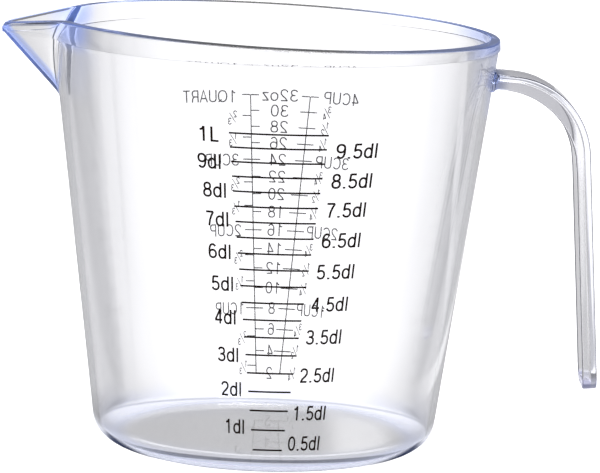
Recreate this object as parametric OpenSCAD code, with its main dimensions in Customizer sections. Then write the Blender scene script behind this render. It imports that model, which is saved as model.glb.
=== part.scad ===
// Clear plastic measuring jug: a conical cup with a slanted rim, a V-shaped spout and a hook handle.
// Millimetres. +Z is up, the origin is the centre of the flat underside, the spout points to -X.
// The metric scale faces -Y and the imperial scale +Y.

/* [Cup] */
// Outside radius that the straight wall would have at table height
foot_r = 51.45; // [47:0.05:56]
// Outside radius of the wall just under the rim band
wall_top_r = 67.05; // [63:0.05:72]
// Height of the underside of the rim band
band_low_h = 122.3; // [118:0.1:122.8]
// Wall thickness at table height
foot_wall_t = 1.9; // [1.4:0.05:2.6]
// Wall thickness just under the rim band
top_wall_t = 2.4; // [1.8:0.05:3]
// Thickness of the floor
floor_t = 1.6; // [1.2:0.1:3]
// Radius of the rounded heel outside
heel_r = 7.6; // [5:0.1:10]
// Radius of the rounding between floor and wall inside
inner_heel_r = 5.6; // [3:0.1:8]

/* [Rim band] */
// How far the band stands out from the wall at its lower edge
band_proud = 0.5; // [0.3:0.05:1]
// Angle that the band's outside leans inwards
band_draft = 7; // [3:0.5:9]
// Height of the band on the handle side, from its underside to the slanted rim
rim_back_rise = 2.9; // [2.1:0.1:4.5]
// Height of the band on the spout side
rim_front_rise = 6.4; // [5.2:0.1:8.5]

/* [Spout] */
// How far below the rim band the keel of the spout leaves the wall
spout_root_drop = 19.6; // [14:0.1:26]
// How far the spout reaches out past the top of the wall
spout_out = 15.45; // [12:0.05:19]
// How far below the rim band's underside the keel is at the front of the spout
spout_nose_drop = 0.6; // [0.3:0.1:3]
// Height of the pouring edge above the rim band's underside
spout_tip_rise = 2.9; // [2.3:0.1:4.5]
// Angle between the spout's middle plane and each cheek
spout_half_angle = 51; // [44:0.5:56]
// Thickness of the cheeks
spout_t = 1.6; // [1.2:0.05:2]
// Width of the flat along the bottom of the keel
keel_flat_w = 1.6; // [0.8:0.1:2.4]
// Half the width of the keel strip between the cheeks
keel_half_w = 2.2; // [1.6:0.1:3]
// Length of the blunt nose
nose_l = 3.2; // [2.4:0.1:4]

/* [Handle] */
// Width of the handle
handle_w = 18; // [14:0.5:22]
// How far below the rim band the handle's top leaves the wall
handle_top_drop = 7.2; // [4.5:0.1:14]
// Angle that the arm drops away from the wall
arm_droop = 4; // [1:0.5:8]
// Outside radius of the bend
bend_r = 25; // [18:0.1:26]
// Angle that the grip leans outwards on its way down
grip_lean = 4.3; // [2:0.1:6]
// How far the outermost corner of the grip stands out past the top of the wall
handle_out = 34.05; // [30:0.05:39]
// Height of that corner, where the open end of the handle is
handle_end_h = 19.2; // [12:0.1:30]
// Thickness of the web, the handle's outer plate
web_t = 1.65; // [1.4:0.05:2.2]
// Depth of the two ribs that stand on the web
rib_depth = 2.75; // [2:0.05:3.4]
// Radius of the bend in the ribs' free edges, larger than the web's so that they are deepest there
rib_bend_r = 24.6; // [22:0.1:26]
// Thickness of each rib
rib_w = 2.2; // [1.6:0.1:3]
// Thickness of the wall that closes the open end
end_wall_t = 3.3; // [2:0.1:5]

/* [Metric scale] */
// How far below the rim band the one litre line is
litre_drop = 19.8; // [14:0.1:32]
// Half the length of the litre line
litre_half_l = 14.3; // [10:0.1:18]
// Half the length that a line would have at table height
table_half_l = 3.4; // [2:0.1:6]
// Thickness of the metric lines
line_w = 0.5; // [0.3:0.05:0.8]
// Turn of the metric scale about the axis, from -Y towards +X
metric_turn = 1.35; // [-10:0.05:10]
// Thickness of the printed ink
ink_t = 0.12; // [0.08:0.01:0.2]

/* [Imperial scale] */
// Thickness of the rules and ticks
rule_w = 0.35; // [0.25:0.05:0.6]
// Distance from the middle plane to the quart rule at the 2 ounce tick
quart_low_x = 2.85; // [2:0.05:5]
// Distance from the middle plane to the quart rule at the 32 ounce tick
quart_high_x = 7.7; // [5:0.05:10]
// Distance from the middle plane to the cup rule at the 2 ounce tick
cup_low_x = 4.95; // [4:0.05:7]
// Distance from the middle plane to the cup rule at the 32 ounce tick
cup_high_x = 12; // [9:0.05:15]
// Length of a tick on one side of its rule
tick_l = 2.8; // [1.5:0.1:4]

/* [Hidden] */
$fn = 96;
// Extra length that every cut runs past what it cuts
cut_over = 1;
// How far the faces between floor, heel and wall stay clear of the roundings
seam_gap = 1;
// Lines on the metric scale, the last one at one litre
line_count = 20;
// Ounces at the highest tick, and from one ounce tick to the next
top_ounces = 32;
ounce_step = 2;
// One US fluid ounce, as a share of a litre
ounce_share = 0.0295735;
// Thirds of a cup, and a cup's ounces
thirds = 3;
cup_ounces = 8;
// Flats that make up each rounding of the heel
heel_steps = 14;
// Flats that make up the handle's bend
bend_steps = 32;
// Part of a square corner that its rounding leaves filled
corner_share = 1 - PI / 4;
// Where the top of the spout starts to fall, as a share of the wall's top radius
pour_start_share = 0.92;
// How close to the axis the spout's faces are used, as a share of the wall's top radius
spout_zone_share = 0.8;

// The cup's two straight walls
wall_slope = (wall_top_r - foot_r) / band_low_h;
inner_foot_r = foot_r - foot_wall_t;
inner_top_r = wall_top_r - top_wall_t;
inner_slope = (inner_top_r - inner_foot_r) / band_low_h;
function wall_r_at(h) = foot_r + wall_slope * h;
function inner_r_at(h) = inner_foot_r + inner_slope * h;

// The heel's two arcs: the radius of each centre, and the lines that end the floor and the heel ring
wall_lean = atan(wall_slope);
inner_lean = atan(inner_slope);
heel_c = wall_r_at(heel_r) - heel_r / cos(wall_lean);
inner_heel_h = floor_t + inner_heel_r;
inner_c = inner_r_at(inner_heel_h) - inner_heel_r / cos(inner_lean);
disc_r = min(heel_c, inner_c) - seam_gap;
heel_h = max(heel_r * (1 - sin(wall_lean)), inner_heel_h - inner_heel_r * sin(inner_lean)) + seam_gap;
// Points of an arc from straight down to the point where it meets its wall
function heel_arc(centre_r, centre_h, r, lean) = [
    for (step = [0 : heel_steps])
    let (a = -90 + (90 - lean) * step / heel_steps)
    [centre_r + r * cos(a), centre_h + r * sin(a)]
];

// The slanted rim, and the spout's own falling top
rim_back_h = band_low_h + rim_back_rise;
rim_front_h = band_low_h + rim_front_rise;
spout_tip_h = band_low_h + spout_tip_rise;
spout_reach = wall_top_r + spout_out;
rim_mid_h = (rim_front_h + rim_back_h) / 2;
rim_slope = (rim_front_h - rim_back_h) / (2 * wall_top_r);
pour_start = wall_top_r * pour_start_share;
pour_start_h = rim_mid_h + rim_slope * pour_start;
pour_drop = atan((pour_start_h - spout_tip_h) / (spout_reach - pour_start));
band_top_h = rim_front_h + cut_over;
band_low_r = wall_top_r + band_proud;
band_top_r = band_low_r - (band_top_h - band_low_h) * tan(band_draft);

// The keel's line, and a length that passes the whole jug
handle_reach = wall_top_r + handle_out;
spout_root_h = band_low_h - spout_root_drop;
spout_nose_h = band_low_h - spout_nose_drop;
spout_root_r = wall_r_at(spout_root_h);
keel_rise = atan((spout_nose_h - spout_root_h) / (spout_reach - spout_root_r));
whole_l = 2 * (spout_reach + handle_reach);
spout_zone_x = wall_top_r * spout_zone_share;
spout_low_h = spout_root_h - 2 * top_wall_t;

// The handle's bends, tangent to the arm and to the grip
handle_depth = web_t + rib_depth;
handle_top_h = band_low_h - handle_top_drop;
arm_start = [wall_r_at(handle_top_h), handle_top_h];
arm_dir = [cos(arm_droop), -sin(arm_droop)];
arm_in = [-sin(arm_droop), -cos(arm_droop)];
grip_end = [handle_reach, handle_end_h];
grip_dir = [-sin(grip_lean), cos(grip_lean)];
grip_in = [-cos(grip_lean), -sin(grip_lean)];
function cross2(a, b) = a[0] * b[1] - a[1] * b[0];
function bend_centre(inset) =
    let (
        from_arm = arm_start + inset * arm_in,
        to_grip = grip_end + inset * grip_in - from_arm
    )
    from_arm + arm_dir * cross2(to_grip, grip_dir) / cross2(arm_dir, grip_dir);

// Heights on the scales: a line stands where its share of a litre fills the conical inside
litre_h = band_low_h - litre_drop;
zero_h = floor_t + 2 * corner_share * inner_heel_r * inner_heel_r / inner_r_at(floor_t);
function cube_of(x) = x * x * x;
litre_cubes = cube_of(inner_r_at(litre_h)) - cube_of(inner_r_at(zero_h));
function fill_h(share) =
    (pow(cube_of(inner_r_at(zero_h)) + share * litre_cubes, 1 / 3) - inner_foot_r) / inner_slope;
function ounce_h(ounces) = fill_h(ounces * ounce_share);
function line_half_l(h) = table_half_l + (litre_half_l - table_half_l) * h / litre_h;
low_tick_h = ounce_h(ounce_step);
high_tick_h = ounce_h(top_ounces);
function rule_x(low_x, high_x, h) =
    low_x + (high_x - low_x) * (h - low_tick_h) / (high_tick_h - low_tick_h);
function quart_x(h) = -rule_x(quart_low_x, quart_high_x, h);
function cup_x(h) = rule_x(cup_low_x, cup_high_x, h);

clear_plastic = [0.84, 0.87, 0.95, 0.4];
clear_edge = [0.55, 0.62, 0.92, 0.55];
dark_ink = [0.16, 0.11, 0.1];
grey_ink = [0.36, 0.33, 0.36];

// Half section of the whole cup's outside, up to the band
module outside_2d() {
    polygon(concat(
        [[0, 0]], heel_arc(heel_c, heel_r, heel_r, wall_lean), [[wall_top_r, band_low_h], [0, band_low_h]]
    ));
}

// Half section of the cup's inside, open past the band's underside
module inside_2d() {
    over_h = band_low_h + cut_over;
    polygon(concat(
        [[0, floor_t]], heel_arc(inner_c, inner_heel_h, inner_heel_r, inner_lean),
        [[inner_top_r, band_low_h], [inner_top_r, over_h], [0, over_h]]
    ));
}

// The part of the cup's shell between two radii and two heights
module shell_between(low_r, low_h, high_r, high_h) {
    rotate_extrude() intersection() {
        difference() {
            outside_2d();
            inside_2d();
        }
        translate([low_r, low_h]) square([high_r - low_r, high_h - low_h]);
    }
}

// The room inside the conical wall, running on past the band's underside
module room_in_wall() {
    top_h = band_low_h + cut_over;
    cylinder(h = top_h, r1 = inner_foot_r, r2 = inner_r_at(top_h));
}

// Half space above the slanted rim
module above_rim() {
    translate([0, 0, rim_mid_h]) rotate([0, atan(rim_slope), 0])
        translate([-whole_l, -whole_l, 0]) cube([2 * whole_l, 2 * whole_l, whole_l]);
}

// Half space above the falling top of the spout
module above_pour() {
    translate([-pour_start, 0, pour_start_h]) rotate([0, -pour_drop, 0])
        translate([-whole_l, -whole_l, 0]) cube([2 * whole_l, 2 * whole_l, whole_l]);
}

// Section of the V square to its keel, with its faces moved out by grow and its bottom flat
module vee_2d(grow) {
    spread = tan(spout_half_angle);
    apex = -grow / sin(spout_half_angle);
    flat = apex + keel_flat_w / 2 / spread;
    far_half_w = (spout_reach - apex) * spread;
    polygon([
        [flat, -keel_flat_w / 2], [flat, keel_flat_w / 2],
        [spout_reach, far_half_w], [spout_reach, -far_half_w]
    ]);
}

// Lays a section along the keel's line
module along_keel() {
    translate([-spout_root_r, 0, spout_root_h]) rotate([0, keel_rise - 90, 0])
        linear_extrude(height = 2 * spout_reach, center = true) children();
}

// Box between two distances in front of the axis, two places across it and two heights
module spout_block(front_x, back_x, low_y, high_y, low_h, high_h) {
    translate([-front_x, low_y, low_h]) cube([front_x - back_x, high_y - low_y, high_h - low_h]);
}

// Stretch of the spout's V-shaped wall below the band, between two places across it
module spout_wall(low_y, high_y) {
    difference() {
        intersection() {
            along_keel() difference() {
                vee_2d(0);
                vee_2d(-spout_t);
            }
            spout_block(spout_reach, spout_zone_x, low_y, high_y, spout_low_h, band_low_h);
        }
        room_in_wall();
    }
}

// Stretch of the band around the spout
module spout_band(front_x, back_x, low_y, high_y) {
    difference() {
        intersection() {
            along_keel() difference() {
                vee_2d(band_proud);
                vee_2d(-spout_t);
            }
            spout_block(front_x, back_x, low_y, high_y, band_low_h, band_top_h);
        }
        cylinder(h = 2 * band_low_h, r = inner_top_r);
        above_rim();
        above_pour();
    }
}

// Points along the handle from inside the cup's wall to the open end, at one depth under its outside
// and with one radius at the bend
function handle_line(depth, line_r) = concat(
    [arm_start - handle_w * arm_dir + depth * arm_in],
    [for (step = [0 : bend_steps])
        let (a = 90 - arm_droop + (grip_lean + arm_droop - 90) * step / bend_steps)
        bend_centre(depth + line_r) + line_r * [cos(a), sin(a)]],
    [grip_end + depth * grip_in]
);
outside_line = handle_line(0, bend_r);
web_line = handle_line(web_t, bend_r - web_t);
rib_line = handle_line(handle_depth, rib_bend_r);

// Strip of the handle's side view between two of its lines
module handle_strip_2d(outer, inner) {
    polygon(concat(outer, [for (i = [len(inner) - 1 : -1 : 0]) inner[i]]));
}

// A strip of the handle between two places across its width, cut off at the cup's wall
module handle_plate(outer, inner, low_y, high_y) {
    difference() {
        translate([0, high_y, 0]) rotate([90, 0, 0])
            linear_extrude(height = high_y - low_y) handle_strip_2d(outer, inner);
        rotate_extrude() polygon([[0, 0], [foot_r, 0], [wall_top_r, band_low_h], [0, band_low_h]]);
    }
}

// Printed bar along the wall at one height, between two angles from +X
module ink_bar(h, width, from_angle, to_angle) {
    low = h - width / 2;
    high = h + width / 2;
    rotate([0, 0, from_angle]) rotate_extrude(angle = to_angle - from_angle)
        polygon([
            [wall_r_at(low), low], [wall_r_at(low) + ink_t, low],
            [wall_r_at(high) + ink_t, high], [wall_r_at(high), high]
        ]);
}

// One line of the metric scale
module metric_line(number) {
    h = fill_h(number / line_count);
    half_angle = line_half_l(h) / wall_r_at(h) * 180 / PI;
    middle = metric_turn - 90;
    ink_bar(h, line_w, middle - half_angle, middle + half_angle);
}

// Tick on the far side of the jug, between two distances from the middle plane
module far_tick(h, low_x, high_x) {
    r = wall_r_at(h);
    ink_bar(h, rule_w, 90 - asin(high_x / r), 90 - asin(low_x / r));
}

// Leaning rule on the far side, from the lowest ounce tick to the highest
module far_rule(low_x, high_x) {
    low = low_tick_h;
    high = high_tick_h;
    lean = atan((high_x - low_x) / (high - low));
    intersection() {
        rotate_extrude() polygon([
            [wall_r_at(low), low], [wall_r_at(low) + ink_t, low],
            [wall_r_at(high) + ink_t, high], [wall_r_at(high), high]
        ]);
        translate([low_x, 0, low]) rotate([0, lean, 0])
            translate([-rule_w / 2, 0, -rule_w]) cube([rule_w, wall_top_r + ink_t, band_low_h]);
    }
}

module floor_disc() {
    color(clear_plastic) shell_between(0, 0, disc_r, heel_h);
}

module heel_ring() {
    color(clear_plastic) shell_between(disc_r, 0, wall_top_r, heel_h);
}

module side_wall() {
    color(clear_plastic) difference() {
        shell_between(disc_r, heel_h, wall_top_r, band_low_h);
        intersection() {
            along_keel() vee_2d(0);
            spout_block(spout_reach, spout_zone_x, -spout_reach, spout_reach, 0, band_top_h);
        }
    }
}

module rim_band() {
    color(clear_edge) difference() {
        rotate_extrude() polygon([
            [inner_top_r, band_low_h], [band_low_r, band_low_h],
            [band_top_r, band_top_h], [inner_top_r, band_top_h]
        ]);
        above_rim();
        intersection() {
            along_keel() vee_2d(band_proud);
            spout_block(
                spout_reach, spout_zone_x, -spout_reach, spout_reach, 0, band_top_h + cut_over
            );
        }
    }
}

module spout_keel() {
    color(clear_edge) spout_wall(-keel_half_w, keel_half_w);
}

module spout_near_cheek() {
    color(clear_plastic) spout_wall(-spout_reach, -keel_half_w);
}

module spout_far_cheek() {
    color(clear_plastic) spout_wall(keel_half_w, spout_reach);
}

module spout_nose() {
    color(clear_edge) spout_band(spout_reach, spout_reach - nose_l, -spout_reach, spout_reach);
}

module spout_near_lip() {
    color(clear_edge) spout_band(spout_reach - nose_l, spout_zone_x, -spout_reach, 0);
}

module spout_far_lip() {
    color(clear_edge) spout_band(spout_reach - nose_l, spout_zone_x, 0, spout_reach);
}

module handle_web() {
    color(clear_plastic) handle_plate(outside_line, web_line, -handle_w / 2, handle_w / 2);
}

module handle_near_rib() {
    color(clear_plastic) handle_plate(web_line, rib_line, -handle_w / 2, rib_w - handle_w / 2);
}

module handle_far_rib() {
    color(clear_plastic) handle_plate(web_line, rib_line, handle_w / 2 - rib_w, handle_w / 2);
}

module handle_end_wall() {
    inside_w = handle_w - 2 * rib_w;
    color(clear_edge) translate([0, inside_w / 2, 0]) rotate([90, 0, 0])
        linear_extrude(height = inside_w) polygon([
            grip_end + web_t * grip_in, grip_end + handle_depth * grip_in,
            grip_end + handle_depth * grip_in + end_wall_t * grip_dir,
            grip_end + web_t * grip_in + end_wall_t * grip_dir
        ]);
}

module decilitre_lines() {
    color(dark_ink) for (number = [2 : 2 : line_count]) metric_line(number);
}

module half_decilitre_lines() {
    color(dark_ink) for (number = [1 : 2 : line_count]) metric_line(number);
}

module quart_rule() {
    color(grey_ink) far_rule(-quart_low_x, -quart_high_x);
}

module cup_rule() {
    color(grey_ink) far_rule(cup_low_x, cup_high_x);
}

// Ticks between the rules, one at each ounce step, beside the quart rule
module ounce_ticks() {
    color(grey_ink) for (ounces = [ounce_step : ounce_step : top_ounces]) {
        h = ounce_h(ounces);
        far_tick(h, quart_x(h) + rule_w / 2, quart_x(h) + tick_l);
    }
}

// Ticks across the cup rule: a quarter of a cup is one ounce step
module quarter_cup_ticks() {
    color(grey_ink) for (ounces = [ounce_step : ounce_step : top_ounces]) {
        h = ounce_h(ounces);
        far_tick(h, cup_x(h) - tick_l, cup_x(h) - rule_w / 2);
        far_tick(h, cup_x(h) + rule_w / 2, cup_x(h) + tick_l);
    }
}

// Ticks on the outer side of the quart rule, at each third of a cup
module third_cup_ticks() {
    color(grey_ink) for (third = [1 : top_ounces / cup_ounces * thirds]) {
        h = ounce_h(third * cup_ounces / thirds);
        far_tick(h, quart_x(h) - tick_l, quart_x(h) - rule_w / 2);
    }
}

floor_disc();
heel_ring();
side_wall();
rim_band();
spout_keel();
spout_near_cheek();
spout_far_cheek();
spout_nose();
spout_near_lip();
spout_far_lip();
handle_web();
handle_near_rib();
handle_far_rib();
handle_end_wall();
decilitre_lines();
half_decilitre_lines();
quart_rule();
cup_rule();
ounce_ticks();
quarter_cup_ticks();
third_cup_ticks();
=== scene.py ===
# Clear plastic measuring jug: the moulding, its two printed scales and a pale studio.
# The dictionaries give lengths in millimetres and angles in degrees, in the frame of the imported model.
# Only the studio's lengths are in metres.
import math

import bmesh
import bpy
import numpy as np
from mathutils import Matrix, Vector


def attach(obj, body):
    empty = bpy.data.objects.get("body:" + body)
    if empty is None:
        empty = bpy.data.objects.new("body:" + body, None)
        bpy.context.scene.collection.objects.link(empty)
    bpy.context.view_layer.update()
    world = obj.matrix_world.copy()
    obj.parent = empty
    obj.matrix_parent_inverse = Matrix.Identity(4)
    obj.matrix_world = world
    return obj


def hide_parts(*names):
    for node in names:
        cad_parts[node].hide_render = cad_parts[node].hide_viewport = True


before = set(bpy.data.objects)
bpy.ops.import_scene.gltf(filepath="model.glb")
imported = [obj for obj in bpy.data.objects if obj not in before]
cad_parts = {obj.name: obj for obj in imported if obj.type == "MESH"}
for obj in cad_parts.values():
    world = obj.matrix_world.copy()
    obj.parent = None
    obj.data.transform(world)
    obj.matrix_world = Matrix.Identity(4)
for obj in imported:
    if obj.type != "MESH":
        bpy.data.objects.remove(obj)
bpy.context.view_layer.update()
mm = 0.001
print("frame loaded:", len(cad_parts), "nodes")


class Field:
    # wraps an output socket, so that shader maths reads as plain expressions
    def __init__(self, recipe, socket):
        self.recipe = recipe
        self.socket = socket

    def __add__(self, other):
        return self.recipe.maths("ADD", self, other)

    def __radd__(self, other):
        return self.recipe.maths("ADD", other, self)

    def __sub__(self, other):
        return self.recipe.maths("SUBTRACT", self, other)

    def __rsub__(self, other):
        return self.recipe.maths("SUBTRACT", other, self)

    def __mul__(self, other):
        return self.recipe.maths("MULTIPLY", self, other)

    def __rmul__(self, other):
        return self.recipe.maths("MULTIPLY", other, self)

    def __truediv__(self, other):
        return self.recipe.maths("DIVIDE", self, other)

    def __rtruediv__(self, other):
        return self.recipe.maths("DIVIDE", other, self)

    def __abs__(self):
        return self.recipe.node("Math", {"operation": "ABSOLUTE"}, {0: self})


class Recipe:
    # one material's or the world's node tree
    def __init__(self, owner):
        owner.use_nodes = True
        self.tree = owner.node_tree
        self.tree.nodes.clear()

    def node(self, kind, settings=(), inputs=(), out=0):
        made = self.tree.nodes.new("ShaderNode" + kind)
        for name, value in dict(settings).items():
            if name == "stops":
                ramp = made.color_ramp
                while len(ramp.elements) < len(value):
                    ramp.elements.new(0.5)
                for stop, (place, colour) in zip(ramp.elements, value):
                    stop.position = place
                    stop.color = (*colour, 1)
            else:
                setattr(made, name, value)
        for name, value in dict(inputs).items():
            if isinstance(value, Field):
                self.tree.links.new(value.socket, made.inputs[name])
            else:
                made.inputs[name].default_value = value
        return Field(self, made.outputs[out]) if len(made.outputs) else made

    def maths(self, operation, first, second):
        return self.node("Math", {"operation": operation}, {0: first, 1: second})

    def blend(self, factor, low, high):
        # mixes two colours
        return self.node("Mix", {"data_type": "RGBA"}, {0: factor, 6: low, 7: high}, 2)

    def larger(self, *values):
        result = values[0]
        for value in values[1:]:
            result = self.maths("MAXIMUM", result, value)
        return result

    def fade(self, value, start, end):
        # nothing at start and 1 at end, soft at both
        return self.node("MapRange", {"interpolation_type": "SMOOTHSTEP"}, {
            "Value": value, "From Min": start, "From Max": end})

    def split(self, vector):
        parts = self.node("SeparateXYZ", {}, {"Vector": vector}).socket.node.outputs
        return [Field(self, part) for part in parts]

    def place(self):
        return self.node("TexCoord", out="Object")

    def length(self, vector):
        return self.node("VectorMath", {"operation": "LENGTH"}, {0: vector}, "Value")

    def noise(self, size, detail=2, rough=0.5):
        # size is the length of a patch in millimetres
        return self.node("TexNoise", {}, {
            "Vector": self.place(), "Scale": 1 / (size * mm), "Detail": detail, "Roughness": rough})

    def bump(self, height, depth, strength, base=None):
        inputs = {"Height": height, "Distance": depth * mm, "Strength": strength}
        if base:
            inputs["Normal"] = base
        return self.node("Bump", {}, inputs, "Normal")


def rgb(colour):
    return (*colour, 1)


def grey(tone):
    return (tone, tone, tone, 1)


cup = dict(
    footR=51.45, slope=0.127555, innerFootR=49.55, innerSlope=0.123467,
    floorT=1.6, heelC=44.758, heelR=7.6, innerC=44.796, innerHeelR=5.6, innerHeelH=7.2,
    bandLowH=122.3, bandLowR=67.53, bandDraft=4.5, innerTopR=64.65, innerDraft=2.8,
    rimMidH=126.95, rimSlope=0.0261, edgeR=0.6, innerEdgeR=0.35, edgeFlat=0.1, inkBed=0.02,
    crest=0.4, topH=128.5, aboveH=130.0,            # how much higher the rim is inside, up to a height
    lipLeast=0.55, lipShare=0.3,                    # least wall in the upper part of the mouth
    sliver=0.001, sharpTurn=38,                     # shorter edges go, and sharper ones stay sharp
    # rows of the mesh, from the underside round to the floor: (first height, last height, count) or shares
    discR=(12, 24, 34, 41), heelRows=13, wallRows=((10, 98, 23), (98.8, 121.8, 27)), wallEndH=122.1,
    bandShares=(0, 0.15, 0.3, 0.45, 0.6, 0.75, 0.88, 0.96, 1), roundTurns=(22, 45, 68, 90),
    mouthShares=(0, 0.1, 0.25, 0.4, 0.55, 0.7, 0.85), insideRows=((119, 98, 24), (94, 10, 22)),
    innerHeelRows=12,
)
spout = dict(
    rootR=64.55, rootH=102.7, rise=46.63, halfAngle=51, wallT=1.6, bandProud=0.5, reach=82.5,
    pourStart=61.69, pourStartH=128.56, pourDrop=9.17, lipT=0.9, cornerR=1.5,
    keelSoft=0.8, creaseSoft=0.7, noseSoft=0.5, zone=48,    # roundings, and the angle that its faces end at
    pourX=-40, pourRise=9, cornerDrop=0.8,          # the falling top counts beyond pourX only
)


plastic = dict(
    surfaceColour=(0.992, 0.99, 0.989), ior=1.57,
    tint=(0.30, 0.42, 0.93), tintDensity=6,         # absorption in a metre of plastic
    pipedLightColour=(0.43, 0.53, 0.94), edgeGlow=(0.04, 0.068, 0.18),    # painted colour and glow of light that has come a long way inside
    rimShadeColour=(0.11, 0.108, 0.106),                 # painted shade on the top of the rim, where no such light comes
    rimEdge=(-0.45, -0.1), rimEnds=(15, 52),        # the painted edge light grows towards spout and handle
    keelTurn=(0.1, -0.2), lineTurn=(0.12, 0.34, 0.84, 0.74),        # parts of the surface's normal
    # the band's heights, and the painted shade in it
    bandH=(121.5, 123), bandShade=0.08,
    # painted edge light at the heel
    heel=0.14, heelH=(9, 3), heelR=(40, 46),
    end=0.12, endGlow=(0.12, 0.115, 0.15), endH=(23.2, 22.2), endX=(85, 88),    # painted edge colour and glow at the handle's closed end
    edgeLineShade=(0.03, 0.03, 0.05),                                      # painted dark shade along the handle's rounded edges
    armShadeColour=(0.955, 0.953, 0.96), armGlow=(0.075, 0.075, 0.079),      # painted shade and glow for light caught in its bend and arm
    armH=(76, 98), handleX=(68, 71),
    # painted edge light on the spout's keel and nose
    keelHalfW=(4.2, 2.6), keelX=(61, 64), nose=0.6, noseX=(78.5, 81.5),
    # painted shade on the far cheek
    cheekShade=0.15, cheekX=(62, 65), cheekY=(1.5, 4),
    nearTurn=(11, 22, 28, 38), farTurn=(9, 19, 22, 32),             # painted edge light beside the mouth, on each side
    root=0.72, rootH=(118.5, 125), rootWall=0.08, rootWallH=(103, 112),     # in the band and below it
    corner=0.55, cornerX=(52, 66), pourX=(-40, -30),
    gripRoot=0.25, gripRootX=(72, 65), gripWallX=(62, 64.5), gripRootH=(100, 104),
    roughness=0.012, hazeLength=35, hazeRoughness=0.02,
    flowLength=28, flowDepth=0.24, flowStrength=0.1,                # faint waves that the flow leaves
    scratchLength=0.7, scratchDepth=0.0006, scratchStrength=0.2,
)


def makePlastic():
    p = plastic
    recipe = Recipe(bpy.data.materials.new("clearStyrene"))
    flow = recipe.noise(p["flowLength"], 1)
    scratch = recipe.noise(p["scratchLength"], 3, 0.6)
    haze = recipe.noise(p["hazeLength"], 3)
    wavy = recipe.bump(flow, p["flowDepth"], p["flowStrength"])
    fine = recipe.bump(scratch, p["scratchDepth"], p["scratchStrength"], wavy)
    x, y, z = recipe.split(recipe.place())
    facing = recipe.split(recipe.node("TexCoord", out="Normal"))
    span = lambda value, name: recipe.fade(value, *[edge * mm for edge in p[name]])
    inBand = span(z, "bandH")
    # the rim's slanted plane, and the falling top of the spout
    rimLine = cup["rimMidH"] * mm - cup["rimSlope"] * x
    fall = math.tan(math.radians(spout["pourDrop"]))
    pourLine = (spout["pourStartH"] + spout["pourStart"] * fall) * mm + fall * x
    rimLine = recipe.maths("MINIMUM", rimLine, pourLine + span(x, "pourX"))
    rim = span(z - rimLine, "rimEdge")
    # where the painted blue light comes out
    keel = span(abs(y), "keelHalfW") * span(0 - x, "keelX") * recipe.fade(facing[2], *p["keelTurn"])
    nose = p["nose"] * span(0 - x, "noseX")
    bearing = y / recipe.larger(0 - x, mm)
    root = 0
    for name, side in (("nearTurn", -1), ("farTurn", 1)):
        turns = [side * math.tan(math.radians(a)) for a in p[name]]
        root = root + recipe.fade(bearing, turns[0], turns[1]) * recipe.fade(bearing, turns[3], turns[2])
    root = root * (p["rootWall"] * span(z, "rootWallH") + (p["root"] - p["rootWall"]) * span(z, "rootH"))
    corner = p["corner"] * inBand * span(x, "cornerX")
    grip = p["gripRoot"] * span(x, "gripWallX") * span(x, "gripRootX") * span(z, "gripRootH")
    heel = p["heel"] * span(z, "heelH") * span(recipe.length(recipe.place()), "heelR")
    end = span(z, "endH") * span(x, "endX")
    edge = recipe.larger(
        rim * span(abs(x), "rimEnds"), keel, nose, root, corner, grip, heel, p["end"] * end)
    # painted shade, where the plastic looks darker or lighter
    cheek = p["cheekShade"] * span(0 - x, "cheekX") * span(y, "cheekY")
    shade = recipe.larger(rim, p["bandShade"] * inBand, cheek)
    # painted dark lines of shade along the handle's rounded edges, and painted shade and glow on its arm
    turn = abs(facing[1])
    onHandle = span(x, "handleX")
    line = recipe.fade(turn, *p["lineTurn"][:2]) * recipe.fade(turn, *p["lineTurn"][2:]) * onHandle
    arm = onHandle * span(z, "armH")
    clear = recipe.blend(shade, rgb(p["surfaceColour"]), rgb(p["rimShadeColour"]))
    clear = recipe.blend(arm, clear, rgb(p["armShadeColour"]))
    clear = recipe.blend(line, clear, rgb(p["edgeLineShade"]))
    glow = recipe.blend(arm * (1 - line), grey(0), rgb(p["armGlow"]))
    glow = recipe.blend(end, glow, rgb(p["endGlow"]))
    # the colour carries the painted shade and painted edge light, the emission the painted glow
    body = recipe.node("BsdfPrincipled", {}, {
        "Base Color": recipe.blend(edge, clear, rgb(p["pipedLightColour"])),
        "IOR": p["ior"], "Transmission Weight": 1.0, "Emission Strength": 1.0,
        "Emission Color": recipe.blend(edge, glow, rgb(p["edgeGlow"])),
        "Roughness": p["roughness"] + haze * scratch * p["hazeRoughness"], "Normal": fine,
    })
    depth = recipe.node("VolumeAbsorption", {}, {"Color": rgb(p["tint"]), "Density": p["tintDensity"]})
    recipe.node("OutputMaterial", {}, {"Surface": body, "Volume": depth})
    return bpy.data.materials["clearStyrene"]


ink = dict(
    metric=(0.010, 0.004, 0.0025), metricThin=(0.026, 0.012, 0.007),
    imperial=(0.06, 0.052, 0.052), imperialThin=(0.13, 0.12, 0.12),
    patchLength=6, cover=(0.12, 0.42),              # unevenness of a pad print
    grain=0.35, grainDepth=0.02, grainStrength=0.4, roughness=0.42, grainRoughness=0.2, shine=0.12,
)


def makeInk(name, full, thin):
    recipe = Recipe(bpy.data.materials.new(name))
    grain = recipe.noise(ink["grain"], 2, 0.6)
    patch = recipe.noise(ink["patchLength"])
    cover = recipe.node("MapRange", {}, {
        "Value": grain * patch, "From Min": ink["cover"][0], "From Max": ink["cover"][1]})
    surface = recipe.node("BsdfPrincipled", {}, {
        "Base Color": recipe.blend(cover, rgb(full), rgb(thin)),
        "Roughness": ink["roughness"] + ink["grainRoughness"] * grain,
        "Normal": recipe.bump(grain, ink["grainDepth"], ink["grainStrength"]),
        "Specular IOR Level": ink["shine"],
    })
    recipe.node("OutputMaterial", {}, {"Surface": surface})
    return bpy.data.materials[name]


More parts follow.
